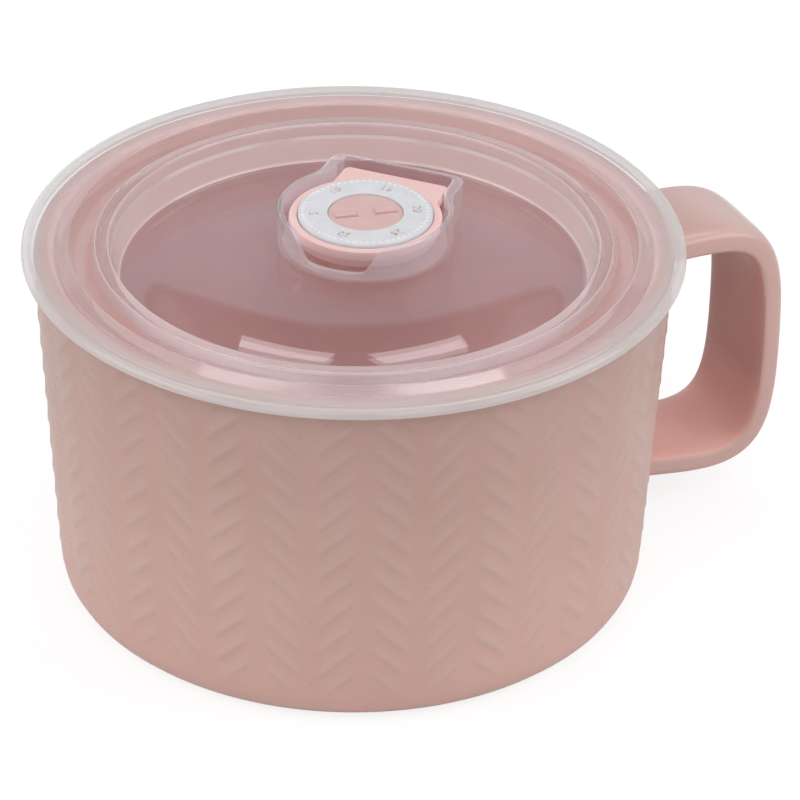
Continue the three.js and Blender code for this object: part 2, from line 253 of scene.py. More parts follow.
def add(tree, kind, inputs=None, operation=None, **settings):
    """Adds a node with its settings; an input takes a number, a socket or another node's first output."""
    made = tree.nodes.new(kind)
    if operation:
        made.operation = operation
    for name, value in settings.items():
        setattr(made, name, value)
    for key, value in (inputs or {}).items():
        if isinstance(value, bpy.types.Node):
            value = value.outputs[0]
        if isinstance(value, bpy.types.NodeSocket):
            tree.links.new(value, made.inputs[key])
        else:
            made.inputs[key].default_value = value
    return made


def bare_material(name):
    """A material with an empty node tree, the tree, and the place on the piece."""
    made = bpy.data.materials.new(name)
    made.use_nodes = True
    tree = made.node_tree
    tree.nodes.clear()
    return made, tree, add(tree, "ShaderNodeTexCoord").outputs["Object"]


def surfaced(made, surface):
    """The material, with its surface."""
    add(made.node_tree, "ShaderNodeOutputMaterial", {"Surface": surface})
    return made


def mottled(tree, noise, deep, pale, low=0.3, high=0.7):
    """A colour that goes from one tint to another as a noise goes from a low value to a high one."""
    share = add(tree, RANGE, {"Value": noise, 1: low, 2: high})
    tints = {"Factor": share, 6: linear(deep), 7: linear(pale)}
    return add(tree, MIX, tints, data_type="RGBA").outputs[2]


def glaze(name, deep, pale, low, high, at_low, at_high, rough, index):
    """Stoneware, slip cast and dipped in a matt glaze: a satin skin with a faint cloudy drift of
    colour, rare iron specks, greyer where the glaze thins over the relief and darker under it as painted
    shade, bare clay on the foot. Painted light and shade scale the colour from one strength to another
    between two heights."""
    made, tree, place = bare_material(name)
    # Clouds 25 mm across
    drift = add(tree, NOISE, {"Vector": place, "Scale": 1 / (25 * MM), "Detail": 3.0})
    colour = mottled(tree, drift, deep, pale)
    # Over the strokes the glaze thins greyer; under them it is darkened as painted shade
    for attribute, tone, most in (("relief", "#d3b9ac", 0.55), ("painted_shade", "#b58d82", 0.22)):
        height = add(tree, "ShaderNodeAttribute", attribute_name=attribute).outputs["Fac"]
        share = add(tree, RANGE, {"Value": height, 1: 0.1, 2: 1.0, 3: 0.0, 4: most})
        tones = {"Factor": share, 6: colour, 7: linear(tone)}
        colour = add(tree, MIX, tones, data_type="RGBA").outputs[2]
    above = add(tree, "ShaderNodeSeparateXYZ", {0: place}).outputs["Z"]
    # Painted light and shade: the colour is scaled by height
    run = add(tree, RANGE, {"Value": above, 1: low * MM, 2: high * MM, 3: at_low, 4: at_high})
    colour_with_painted_light = add(tree, VECTOR, {0: colour, "Scale": run}, "SCALE")
    # Iron specks 0.5 mm across, where the middle of a 14 mm cell happens to lie in the skin
    cells = add(tree, "ShaderNodeTexVoronoi", {"Vector": place, "Scale": 1 / (14 * MM)})
    speck = add(tree, RANGE, {"Value": cells.outputs["Distance"], 1: 0.012, 2: 0.02, 3: 0.5, 4: 0.0})
    specked = add(tree, MIX, {"Factor": speck, 6: colour_with_painted_light, 7: linear("#8d6a5e")}, data_type="RGBA")
    # The glaze ends within half a millimetre of the table
    bare = add(tree, RANGE, {"Value": above, 1: 0.25 * MM, 2: 0.5 * MM, 3: 1.0, 4: 0.0})
    clay = {"Factor": bare, 6: specked.outputs[2], 7: linear("#d9cbbb")}
    finished = add(tree, MIX, clay, data_type="RGBA").outputs[2]
    # Grain of the matt glaze, 0.8 mm
    grain = add(tree, NOISE, {"Vector": place, "Scale": 1 / (0.8 * MM), "Detail": 2.0})
    roughness = add(tree, RANGE, {"Value": grain, 1: 0.3, 2: 0.7, 3: 0.85 * rough, 4: 1.15 * rough})
    bump = add(tree, "ShaderNodeBump", {"Height": grain, "Strength": 0.08, "Distance": 0.1 * MM})
    skin = add(tree, SKIN, {"Base Color": finished, "Roughness": roughness, "Normal": bump, "IOR": index})
    return surfaced(made, skin)


def polypropylene(finish, tint, streak, clear, rough, coat, gloss, lamp):
    """Clear polypropylene, injection moulded: water clear where the mould is polished and thin, milky
    where it is thick or etched, with faint flow marks. Thin walls hardly bend the view, so their index
    is low and a coat gives their gloss. Lamp light passes straight through."""
    made, tree, place = bare_material("polypropylene_" + finish)
    # Flow marks 9 mm apart
    flow = add(tree, NOISE, {"Vector": place, "Scale": 1 / (9 * MM), "Detail": 2.0})
    roughness = add(tree, RANGE, {"Value": flow, 1: 0.3, 2: 0.7, 3: 0.7 * rough, 4: 1.3 * rough})
    bump = add(tree, "ShaderNodeBump", {"Height": flow, "Strength": 0.03, "Distance": 0.1 * MM})
    colour = mottled(tree, flow, tint, streak, low=0.2, high=0.8)
    shell = add(tree, SKIN, {
        "Base Color": colour, "Roughness": roughness, "Normal": bump, "IOR": 1.01,
        "Transmission Weight": clear, "Coat Weight": coat, "Coat Roughness": gloss, "Coat IOR": 1.45})
    through = add(tree, "ShaderNodeBsdfTransparent", {"Color": (lamp, lamp, lamp, 1.0)})
    shadow = add(tree, "ShaderNodeLightPath").outputs["Is Shadow Ray"]
    return surfaced(made, add(tree, "ShaderNodeMixShader", {0: shadow, 1: shell, 2: through}))


def silicone_rubber(name, tint, bloom_tint):
    """Silicone rubber, compression moulded: soft and matt, light goes a little way in, a bloom of dust."""
    made, tree, place = bare_material(name)
    # Handling bloom 4 mm across and mould grain 0.4 mm
    bloom = add(tree, NOISE, {"Vector": place, "Scale": 1 / (4 * MM), "Detail": 3.0})
    colour = mottled(tree, bloom, tint, bloom_tint)
    grain = add(tree, NOISE, {"Vector": place, "Scale": 1 / (0.4 * MM)})
    roughness = add(tree, RANGE, {"Value": grain, 1: 0.3, 2: 0.7, 3: 0.5, 4: 0.62})
    bump = add(tree, "ShaderNodeBump", {"Height": grain, "Strength": 0.15, "Distance": 0.05 * MM})
    rubber = add(tree, SKIN, {
        "Base Color": colour, "Roughness": roughness, "Normal": bump, "IOR": 1.41,
        "Subsurface Weight": 0.12, "Subsurface Scale": 1.0,
        "Subsurface Radius": (1.5 * MM, 0.8 * MM, 0.7 * MM)})
    return surfaced(made, rubber)


def dial_abs(name, tint, patch_tint):
    """White ABS, moulded with a satin face: clean and cool, with a slight unevenness in its sheen."""
    made, tree, place = bare_material(name)
    # Sheen patches 3 mm across
    patch = add(tree, NOISE, {"Vector": place, "Scale": 1 / (3 * MM), "Detail": 2.0})
    colour = mottled(tree, patch, tint, patch_tint)
    roughness = add(tree, RANGE, {"Value": patch, 1: 0.3, 2: 0.7, 3: 0.34, 4: 0.44})
    return surfaced(made, add(tree, SKIN, {"Base Color": colour, "Roughness": roughness, "IOR": 1.53}))


def pad_ink(name, print_tint, worn_tint):
    """Pad-printed ink on the dial: thin, matt and pinkish brown, worn pale at places."""
    made, tree, place = bare_material(name)
    # Wear 1 mm across
    wear = add(tree, NOISE, {"Vector": place, "Scale": 1 / (1 * MM), "Detail": 2.0})
    colour = mottled(tree, wear, print_tint, worn_tint, low=0.35, high=0.62)
    return surfaced(made, add(tree, SKIN, {"Base Color": colour, "Roughness": 0.5}))


def studio_card(name, tint, tooth_tint):
    """White studio card: even and matt, white to the eye and to gloss, with the soft shadow kept."""
    made, tree, place = bare_material(name)
    # Paper tooth 2 mm
    tooth = add(tree, NOISE, {"Vector": place, "Scale": 1 / (2 * MM)})
    card = add(tree, "ShaderNodeBsdfDiffuse", {"Color": mottled(tree, tooth, tint, tooth_tint)})
    # Three quarters of a straight view is a plain white glow, and a tenth of what gloss sees
    path = add(tree, "ShaderNodeLightPath").outputs
    seen = add(tree, MATH, {0: path["Is Camera Ray"], 1: path["Is Transmission Ray"]}, "MAXIMUM")
    plain = add(tree, MATH, {0: seen, 1: 0.75}, "MULTIPLY")
    share = add(tree, MATH, {0: path["Is Glossy Ray"], 1: 0.1, 2: plain}, "MULTIPLY_ADD")
    glow = add(tree, "ShaderNodeEmission", {"Color": (1, 1, 1, 1), "Strength": 1.11})
    return surfaced(made, add(tree, "ShaderNodeMixShader", {0: share, 1: card, 2: glow}))


def between(start, end, share):
    """The place a share of the way from one point to another."""
    return tuple(a + (b - a) * share for a, b in zip(start, end))


def straight(start, end, steps):
    """Points from one place to another, both ends included."""
    return [between(start, end, k / steps) for k in range(steps + 1)]


def arc(x, y, radius, first, last, steps):
    """Points on an arc from one angle to another, both ends included."""
    angles = [radians(first + (last - first) * k / steps) for k in range(steps + 1)]
    return [(x + radius * cos(a), y + radius * sin(a)) for a in angles]


def rounded(corners, steps=5):
    """Points of a section from (radius, height, rounding) corners, each corner with its rounding."""
    points = []
    for i, (x, z, rounding) in enumerate(corners):
        here = Vector((x, z))
        if rounding == 0 or i in (0, len(corners) - 1):
            points.append((x, z))
            continue
        back = (Vector(corners[i - 1][:2]) - here).normalized()
        on = (Vector(corners[i + 1][:2]) - here).normalized()
        half = back.angle(on) / 2
        centre = here + (back + on).normalized() * (rounding / sin(half))
        reach = rounding / tan(half)
        first, last = here + back * reach - centre, here + on * reach - centre
        turn = first.angle_signed(last)
        for k in range(steps + 1):
            angle = -turn * k / steps
            c, s = cos(angle), sin(angle)
            points.append((centre.x + c * first.x - s * first.y, centre.y + s * first.x + c * first.y))
    return points


def divided(points, low, high, step):
    """The points with extra ones on every straight run between two heights, at most a step apart."""
    fine = points[:1]
    for start, end in zip(points, points[1:]):
        count = 1
        if min(start[1], end[1]) >= low and max(start[1], end[1]) <= high:
            count = max(1, ceil(abs(end[1] - start[1]) / step))
        fine += straight(start, end, count)[1:]
    return fine


def turned(profile, steps, ring=False):
    """Vertices and faces of a body turned about Z; the profile runs up the outside of the section."""
    verts, rows = [], []
    for radius, z in profile:
        count = 1 if radius < 1e-6 else steps
        rows.append(range(len(verts), len(verts) + count))
        for i in range(count):
            angle = 2 * pi * i / steps
            verts.append((radius * cos(angle), radius * sin(angle), z))
    faces = []
    for low, high in zip(rows, rows[1:] + (rows[:1] if ring else [])):
        for i in range(steps):
            j = (i + 1) % steps
            corners = (low[i % len(low)], low[j % len(low)], high[j % len(high)], high[i % len(high)])
            faces.append(tuple(dict.fromkeys(corners)))
    return verts, faces


def lofted(sections, loop=False):
    """Vertices and faces through a row of closed outlines with equal point counts; the row's ends are
    capped unless it closes on itself."""
    count = len(sections[0])
    verts = [point for section in sections for point in section]
    faces = []
    for s in range(len(sections) if loop else len(sections) - 1):
        a, b = s * count, ((s + 1) % len(sections)) * count
        for i in range(count):
            j = (i + 1) % count
            faces.append((a + i, a + j, b + j, b + i))
    if not loop:
        faces.append(tuple(reversed(range(count))))
        faces.append(tuple(range(len(verts) - count, len(verts))))
    return verts, faces


def joined(*shapes):
    """Several lots of vertices and faces as one."""
    verts, faces = [], []
    for shape_verts, shape_faces in shapes:
        start = len(verts)
        verts += [tuple(v) for v in shape_verts]
        faces += [tuple(start + i for i in face) for face in shape_faces]
    return verts, faces


def placed(shape, place):
    """A shape moved and turned by a matrix in millimetres."""
    return [place @ Vector(v) for v in shape[0]], shape[1]


def smooth(mesh, angle=35):
    """Smooth shading, with sharp edges where faces meet at more than an angle."""
    mesh.shade_smooth()
    mesh.set_sharp_from_angle(angle=radians(angle))


def new_object(name, data):
    """An object in the scene, with its data."""
    made = bpy.data.objects.new(name, data)
    bpy.context.scene.collection.objects.link(made)
    return made


def new_piece(name, shape, *materials):
    """An object at the origin with its shape, in millimetres, in its mesh, faces outward."""
    mesh = bpy.data.meshes.new(name)
    mesh.from_pydata([Vector(v) * MM for v in shape[0]], [], shape[1])
    work = bmesh.new()
    work.from_mesh(mesh)
    bmesh.ops.remove_doubles(work, verts=work.verts, dist=1e-6)
    bmesh.ops.recalc_face_normals(work, faces=work.faces)
    work.to_mesh(mesh)
    work.free()
    for material in materials:
        mesh.materials.append(material)
    smooth(mesh)
    return new_object(name, mesh)


def plain_mesh(made):
    """A mesh of what an object shows."""
    graph = bpy.context.evaluated_depsgraph_get()
    return bpy.data.meshes.new_from_object(made.evaluated_get(graph))


def settle(piece):
    """Turns an object with modifiers into a plain mesh."""
    mesh = plain_mesh(piece)
    piece.modifiers.clear()
    piece.data = mesh
    smooth(mesh)


def combine(piece, tool, operation):
    """Joins a solid to a piece, or cuts it away."""
    step = piece.modifiers.new("combine", "BOOLEAN")
    step.object = tool
    step.operation = operation
    step.solver = "EXACT"
    settle(piece)
    bpy.data.objects.remove(tool)


def new_tree(name, inputs):
    """A Geometry Nodes tree with named inputs after its geometry, and the sockets that give them."""
    tree = bpy.data.node_groups.new(name, "GeometryNodeTree")
    for title, kind in (("Geometry", "Geometry"), *inputs):
        tree.interface.new_socket(title, in_out="INPUT", socket_type="NodeSocket" + kind)
    tree.interface.new_socket("Geometry", in_out="OUTPUT", socket_type="NodeSocketGeometry")
    return tree, add(tree, "NodeGroupInput").outputs


def end_tree(tree, geometry, material):
    """Ends a tree with real geometry in its material."""
    real = add(tree, "GeometryNodeRealizeInstances", {"Geometry": geometry})
    dressed = add(tree, "GeometryNodeSetMaterial", {"Geometry": real, "Material": material})
    add(tree, "NodeGroupOutput", {0: dressed})


def run_tree(piece, tree, values):
    """Runs a node tree on a piece with its named inputs and keeps the plain mesh."""
    step = piece.modifiers.new(tree.name, "NODES")
    step.node_group = tree
    for socket in tree.interface.items_tree:
        if socket.in_out == "INPUT" and socket.name in values:
            step[socket.identifier] = values[socket.name]
    settle(piece)


def relief_tree():
    """Raises chevron strokes on the outer wall and keeps their height as the attribute relief, and a band
    under each stroke, for the glaze's painted shade, as the attribute painted_shade."""
    sizes = ("Columns", "Peak", "Pitch", "Lean", "Start", "Depth", "Low", "Low Fade", "High", "High Fade",
             "Foot Radius", "Taper", "Skin")
    tree, given = new_tree("chevron_relief", [(size, "Float") for size in sizes] + [("Glaze", "Material")])
    place = add(tree, "ShaderNodeSeparateXYZ", {0: add(tree, "GeometryNodeInputPosition")})
    x, y, z = place.outputs
    # Column count round the wall, from the first peak
    angle = add(tree, MATH, {0: y, 1: x}, "ARCTAN2")
    from_peak = add(tree, MATH, {0: angle, 1: given["Peak"]}, "SUBTRACT")
    per_radian = add(tree, MATH, {0: given["Columns"], 1: 2 * pi}, "DIVIDE")
    column = add(tree, MATH, {0: from_peak, 1: per_radian}, "MULTIPLY")
    # The stroke's rise or fall across its column
    zigzag = add(tree, MATH, {0: column, 1: 1.0}, "PINGPONG")
    width = add(tree, MATH, {0: given["Foot Radius"], 1: per_radian}, "DIVIDE")
    lean = add(tree, MATH, {0: width, 1: given["Lean"]}, "MULTIPLY")
    line = add(tree, MATH, {0: zigzag, 1: lean, 2: z}, "MULTIPLY_ADD")
    row = add(tree, MATH, {0: line, 1: given["Pitch"]}, "DIVIDE")
    phase = add(tree, MATH, {0: row, 1: given["Start"]}, "SUBTRACT")
    turn = add(tree, MATH, {0: phase, 1: 2 * pi}, "MULTIPLY")

    def ridge(shift, sharp):
        """A rounded ridge once a row, higher or lower in it by a shift, narrower when sharp."""
        moved = add(tree, MATH, {0: turn, 1: shift}, "ADD")
        wave = add(tree, MATH, {0: moved}, "COSINE")
        swell = add(tree, MATH, {0: wave, 1: 0.5, 2: 0.5}, "MULTIPLY_ADD")
        return add(tree, MATH, {0: swell, 1: sharp}, "POWER")

    # The stroke is steep below and gentle above, with a band of painted shade under it
    row_wave = add(tree, MATH, {0: turn}, "COSINE")
    overhang = add(tree, MATH, {0: row_wave, 1: RELIEF_OVERHANG}, "MULTIPLY")
    relief = ridge(overhang, RELIEF_SHARPNESS)
    painted_shade = ridge(PAINTED_SHADE_SHIFT, PAINTED_SHADE_SHARPNESS)
    # Each stroke fades out before the smooth band between two columns
    within = add(tree, MATH, {0: column}, "FRACT")
    from_middle = add(tree, MATH, {0: within, 1: 0.5}, "SUBTRACT")
    off_centre = add(tree, MATH, {0: from_middle}, "ABSOLUTE")
    stroke = add(tree, RANGE, {"Value": off_centre, 1: STROKE_FULL, 2: STROKE_END, 3: 1.0, 4: 0.0}, **SOFT)
    # The relief starts above the foot's curve and ends under the lid
    none_low = add(tree, MATH, {0: given["Low"], 1: given["Low Fade"]}, "SUBTRACT")
    full_low = add(tree, MATH, {0: given["Low"], 1: given["Low Fade"]}, "ADD")
    above = add(tree, RANGE, {"Value": z, 1: none_low, 2: full_low}, **SOFT)
    full_high = add(tree, MATH, {0: given["High"], 1: given["High Fade"]}, "SUBTRACT")
    below = add(tree, RANGE, {"Value": z, 1: given["High"], 2: full_high}, **SOFT)
    # Only the skin of the outer wall is raised
    flat = add(tree, "ShaderNodeCombineXYZ", {"X": x, "Y": y})
    radius = add(tree, VECTOR, {0: flat}, "LENGTH").outputs["Value"]
    face = add(tree, MATH, {0: z, 1: given["Taper"], 2: given["Foot Radius"]}, "MULTIPLY_ADD")
    under_skin = add(tree, MATH, {0: face, 1: given["Skin"]}, "SUBTRACT")
    outer = add(tree, MATH, {0: radius, 1: under_skin}, "GREATER_THAN")
    for share in (stroke, above, below, outer):
        relief = add(tree, MATH, {0: relief, 1: share}, "MULTIPLY")
        painted_shade = add(tree, MATH, {0: painted_shade, 1: share}, "MULTIPLY")
    outward = add(tree, VECTOR, {0: flat}, "NORMALIZE")
    raise_by = add(tree, MATH, {0: relief, 1: given["Depth"]}, "MULTIPLY")
    shift = add(tree, VECTOR, {0: outward, "Scale": raise_by}, "SCALE")
    stored = given["Geometry"]
    for name, value in (("relief", relief), ("painted_shade", painted_shade)):
        stored = add(tree, "GeometryNodeStoreNamedAttribute", {
            "Geometry": stored, "Name": name, "Value": value}, data_type="FLOAT", domain="POINT")
    raised = add(tree, "GeometryNodeSetPosition", {"Geometry": stored, "Offset": shift})
    end_tree(tree, raised, given["Glaze"])
    return tree


def dots_tree():
    """Small domes at equal steps round a circle."""
    tree, given = new_tree("dial_dots", (
        ("Count", "Int"), ("Circle Radius", "Float"), ("Dot Radius", "Float"), ("Flatness", "Float"),
        ("Centre", "Vector"), ("Plastic", "Material")))
    circle = add(tree, "GeometryNodeMeshCircle", {
        "Vertices": given["Count"], "Radius": given["Circle Radius"]})
    dot = add(tree, "GeometryNodeMeshUVSphere", {"Segments": 10, "Rings": 6, "Radius": given["Dot Radius"]})
    flat = add(tree, "ShaderNodeCombineXYZ", {"X": 1.0, "Y": 1.0, "Z": given["Flatness"]})
    spread = add(tree, "GeometryNodeInstanceOnPoints", {"Points": circle, "Instance": dot, "Scale": flat})
    moved = add(tree, "GeometryNodeTransform", {"Geometry": spread, "Translation": given["Centre"]})
    end_tree(tree, moved, given["Plastic"])
    return tree


def cup():
    """Stoneware cup with its chevron relief."""
    taper = (CUP_RIM_RADIUS - CUP_FOOT_RADIUS) / CUP_HEIGHT
    mouth = CUP_RIM_RADIUS - CUP_WALL
    floor_corner = CUP_FOOT_RADIUS + taper * CUP_FLOOR - CUP_WALL
    section = rounded([
        (0, FOOT_RECESS, 0),
        (FOOT_RECESS_RADIUS, FOOT_RECESS, FOOT_RECESS_ROUND),
        (FOOT_RECESS_RADIUS + FOOT_RECESS, 0, FOOT_RECESS_ROUND),
        (CUP_FOOT_RADIUS, 0, CUP_FOOT_FILLET),
        (CUP_RIM_RADIUS, CUP_HEIGHT, CUP_LIP_ROUND),
        (mouth, CUP_HEIGHT, CUP_LIP_ROUND),
        (floor_corner, CUP_FLOOR, CUP_FLOOR_FILLET),
        (0, CUP_FLOOR, 0),
    ])
    # The point of the lip's rounding that is nearest its corner ends the outer wall
    lip = min(section, key=lambda p: abs(p[0] - CUP_RIM_RADIUS) + abs(p[1] - CUP_HEIGHT))
    outer = section.index(lip)
    section = divided(section[:outer], CUP_ROWS_FROM, CUP_HEIGHT, CUP_ROW) + section[outer:]
    piece = new_piece("cup", turned(section, CUP_STEPS))
    run_tree(piece, relief_tree(), {
        "Columns": RELIEF_COLUMNS, "Peak": radians(RELIEF_PEAK), "Pitch": RELIEF_PITCH * MM,
        "Lean": RELIEF_LEAN, "Start": RELIEF_START, "Depth": RELIEF_DEPTH * MM, "Low": RELIEF_LOW * MM,
        "Low Fade": RELIEF_LOW_FADE * MM, "High": RELIEF_HIGH * MM, "High Fade": RELIEF_HIGH_FADE * MM,
        "Foot Radius": CUP_FOOT_RADIUS * MM, "Taper": taper, "Skin": RELIEF_SKIN * MM, "Glaze": CUP_GLAZE})
    smooth(piece.data, angle=60)
    return piece


def handle():
    """Strap handle: a soft oblong section, fuller outside, a little wider where it joins the wall."""
    def bend(points, t):
        """The place on a bend and the way it runs there."""
        a, b, c, d = (Vector(p) for p in points)
        u = 1 - t
        spot = a * u**3 + b * 3 * u * u * t + c * 3 * u * t * t + d * t**3
        way = (b - a) * u * u + (c - b) * 2 * u * t + (d - c) * t * t
        return spot, way.normalized()

    half, deep = HANDLE_WIDTH / 2, HANDLE_THICKNESS / 2
    crowned = []
    for k in range(HANDLE_POINTS):
        angle = 2 * pi * k / HANDLE_POINTS
        side, out = cos(angle), sin(angle)
        across = half * copysign(abs(side) ** HANDLE_SQUARE, side)
        rise = abs(out) ** (HANDLE_SQUARE if out > 0 else HANDLE_INNER)
        crowned.append((across, rise * (deep + HANDLE_CROWN) if out > 0 else -rise * deep))
    sections = []
    # The upper end starts two steps on, within the wall; the two bends share the step where they meet
    for points, steps in ((HANDLE_UPPER, range(2, HANDLE_STEPS)), (HANDLE_LOWER, range(HANDLE_STEPS + 1))):
        for k in steps:
            spot, way = bend(points, k / HANDLE_STEPS)
            outward = Vector((-way.y, way.x))
            flare = 1 + HANDLE_FLARE * exp(-(((spot.x - HANDLE_ROOT) / HANDLE_FLARE_REACH) ** 2))
            sections.append([
                (spot.x + outward.x * out * flare, across * flare, spot.y + outward.y * out * flare)
                for across, out in crowned])
    piece = new_piece("handle_strap", lofted(sections), HANDLE_GLAZE, HANDLE_INSIDE)
    # Faces in the finger gap take a darker, redder glaze as painted shade
    for face in piece.data.polygons:
        inward = (Vector(HANDLE_GAP) * MM - face.center) * Vector((1, 0, 1))
        face.material_index = int(face.normal.dot(inward.normalized()) > HANDLE_GAP_LEAN)
    return piece


def collar_outline(grow, post):
    """Plan of the vent collar's wall: round in front, square round the tab, with soft inner corners."""
    radius, half = COLLAR_RADIUS + grow, COLLAR_HALF + grow + post
    rear, corner = COLLAR_REAR + grow, COLLAR_CORNER + grow
    start = degrees(asin(half / radius))
    side_x, corner_x, corner_y = radius * cos(radians(start)), rear - corner, half - corner
    runs = (
        arc(0, 0, radius, start, 360 - start, steps=72),
        straight((side_x, -half), (corner_x, -half), steps=8),
        arc(corner_x, -corner_y, corner, -90, 0, steps=8),
        straight((rear, -corner_y), (rear, corner_y), steps=16),
        arc(corner_x, corner_y, corner, 0, 90, steps=8),
        straight((corner_x, half), (side_x, half), steps=8))
    points = [point for run in runs for point in run[:-1]]
    for _ in range(COLLAR_SOFTENING):
        trios = zip(points[-1:] + points[:-1], points, points[1:] + points[:1])
        points = [tuple((a + 2 * b + c) / 4 for a, b, c in zip(*trio)) for trio in trios]
    return points


def collar():
    """The vent collar: a thin wall that dips to a lip in front, where a finger reaches the plug."""
    sections = []
    for near, far in zip(collar_outline(0, 0), collar_outline(COLLAR_WALL, COLLAR_POST)):
        share = min(max((abs(near[1]) - SCOOP_FLOOR_HALF) / (SCOOP_HALF - SCOOP_FLOOR_HALF), 0), 1)
        if near[0] > 0:
            share = 1
        top = SCOOP_LIP + (COLLAR_TOP - SCOOP_LIP) * (1 - cos(pi * share)) / 2
        edge = [(across, top - drop) for across, drop in COLLAR_EDGE]
        edge += [(1 - across, z) for across, z in reversed(edge)]
        wall = [(0, COLLAR_FOOT), *edge, (1, COLLAR_FOOT)]
        sections.append([(*between(near, far, across), z) for across, z in wall])
    return placed(lofted(sections, loop=True), VENT_PLACE)


def lid_finish(spot, normal):
    """The finish of a face of the lid, from its middle and the way it faces. The limits lie between rows
    of faces, so each is a little off the size it goes by."""
    radius, height = spot.xy.length, spot.z
    step_aside = abs(radius - (STEP_RADIUS + RING_INNER) / 2)
    step_above = abs(height - (STEP_FOOT + STEP_TOP) / 2)
    on_panel = radius < PANEL_RADIUS - 0.9
    # The flange's thick edge is milky; the narrow band at the step takes the same finish as a painted
    # highlight line
    if radius > BRIM_INNER or step_aside < 0.4 and step_above < 0.45:
        return EDGE
    if on_panel and height > PANEL_TOP + 0.05:
        # Inner faces of the collar's rear wall take a darker tint, a painted dark reflection
        if (TO_VENT @ spot).x > COLLAR_REAR - 0.95 and (TO_VENT.to_3x3() @ normal).x < -0.6:
            return REAR
        return RING if height > COLLAR_TOP - 0.05 else COLLAR
    if on_panel or height < PANEL_TOP - 0.2:
        return CLEAR
    if normal.z < -0.2:
        return UNDER
    if radius < RING_INNER + 0.05 and height < RING_TOP - 0.3:
        return RECESS
    if radius < RING_OUTER + 0.25:
        return RING if RING_INNER + 0.75 < radius < RING_OUTER - 0.55 else CORNER
    if radius < CHANNEL_INNER and height > RING_WALL_MIDDLE - 0.2:
        return FROSTED
    if radius > LIP_INNER:
        return LIP
    return RIM if radius > RIM_INNER - 0.8 and height > LID_TOP - 1.0 else CHANNEL


def lid():
    """Clear lid: rim cover, seat wall, channel, ring, collar and a sunken panel that falls to its edge."""
    half_wall = LID_WALL / 2
    panel_under, ring_under = PANEL_TOP - LID_WALL, RING_TOP - LID_WALL
    channel_under, cover_under = CHANNEL_FLOOR - LID_WALL, LID_TOP - LID_WALL
    fall = [(r, -PANEL_FALL * (r / PANEL_FALL_RADIUS) ** 4) for r in range(12, PANEL_FALL_RADIUS + 1, 3)]
    section = rounded([
        (0, panel_under, 0),
        *((r, panel_under + rise, 0) for r, rise in fall),
        (PANEL_RADIUS + half_wall, panel_under - PANEL_FALL, 1.8),
        (STEP_RADIUS + LID_WALL, STEP_FOOT - LID_WALL, 0.5),
        (RING_INNER + LID_WALL, ring_under, 0.6),
        (RING_OUTER - half_wall, ring_under, 0.6),
        (CHANNEL_INNER - LID_WALL, CHANNEL_FLOOR - half_wall, 0.3),
        (CHANNEL_INNER - half_wall, channel_under, 0.4),
        (SEAT_RADIUS, channel_under, 0.65),
        (SEAT_RADIUS, cover_under, 0.3),
        (SKIRT_RADIUS, cover_under, 0.3),
        (SKIRT_RADIUS, SKIRT_BOTTOM, 0.25),
        (LID_RADIUS, SKIRT_BOTTOM, 0.35),
        (LID_RADIUS, BRIM_TOP, 1.5),
        (SKIRT_RADIUS + 0.05, BRIM_TOP + 0.02, 0.1),
        (SKIRT_RADIUS - 0.15, BRIM_TOP + 0.22, 0.1),
        (BRIM_INNER, LID_TOP - 0.1, 0),
        (LIP_INNER, LID_TOP - 0.08, 0),
        (RIM_INNER + 0.6, LID_TOP - 0.01, 0),
        (RIM_INNER, LID_TOP, 0.7),
        (CHANNEL_OUTER, CHANNEL_FLOOR, 0.6),
        (CHANNEL_INNER, CHANNEL_FLOOR, 0.3),
        ((CHANNEL_INNER + RING_OUTER) / 2, RING_WALL_MIDDLE, 0),
        (RING_OUTER, RING_TOP, 0.4),
        (RING_INNER, RING_TOP, 0.6),
        (RING_INNER, STEP_TOP, 0.2),
        (STEP_RADIUS, STEP_FOOT, 0.2),
        (PANEL_RADIUS, PANEL_TOP - PANEL_FALL, 1.6),
        *((r, PANEL_TOP + rise, 0) for r, rise in reversed(fall)),
        (0, PANEL_TOP, 0),
    ])
    piece = new_piece("clear_lid", turned(section, LID_STEPS))
    combine(piece, new_piece("collar", collar()), "UNION")
    for x, y, radius in ((0, 0, STEM_HOLE), (PEG_X, -PEG_Y, PEG_HOLE), (PEG_X, PEG_Y, PEG_HOLE)):
        bore = turned([(0, BORE_LOW), (radius, BORE_LOW), (radius, BORE_HIGH), (0, BORE_HIGH)], BORE_STEPS)
        place = VENT_PLACE @ Matrix.Translation((x, y, 0))
        combine(piece, new_piece("bore", placed(bore, place)), "DIFFERENCE")
    mesh = piece.data
    mesh.materials.clear()
    for material in LID_FINISHES:
        mesh.materials.append(material)
    for face in mesh.polygons:
        face.material_index = LID_FINISHES.index(lid_finish(face.center / MM, face.normal))
    smooth(mesh, angle=40)
    return piece


def tab_anchor():
    """The tab's fixed foot: a strip that stands on the panel, with two pegs through it."""
    half = TAB_HALF - ANCHOR_INSET
    corner_x, corner_y = TAB_REAR - TAB_CORNER, half - TAB_CORNER
    outline = [(ANCHOR_START, -half)]
    outline += arc(corner_x, -corner_y, TAB_CORNER, -90, 0, steps=6)
    outline += arc(corner_x, corner_y, TAB_CORNER, 0, 90, steps=6)
    outline.append((ANCHOR_START, half))
    strip = lofted([[(x, y, z) for x, y in outline] for z in (PLUG_BOTTOM, TAB_UNDER + ANCHOR_LAP)])
    peg = turned(rounded([
        (0, PEG_BOTTOM, 0), (PEG_HEAD, PEG_BOTTOM, 0.4), (PEG_HEAD, PEG_NECK, 0.2),
        (PEG_RADIUS, PEG_NECK, 0.1), (PEG_RADIUS, PEG_TOP, 0), (0, PEG_TOP, 0)]), steps=32)
    pegs = [placed(peg, Matrix.Translation((PEG_X, y, 0))) for y in (-PEG_Y, PEG_Y)]
    return new_piece("tab_anchor", placed(joined(strip, *pegs), VENT_PLACE), RUBBER)


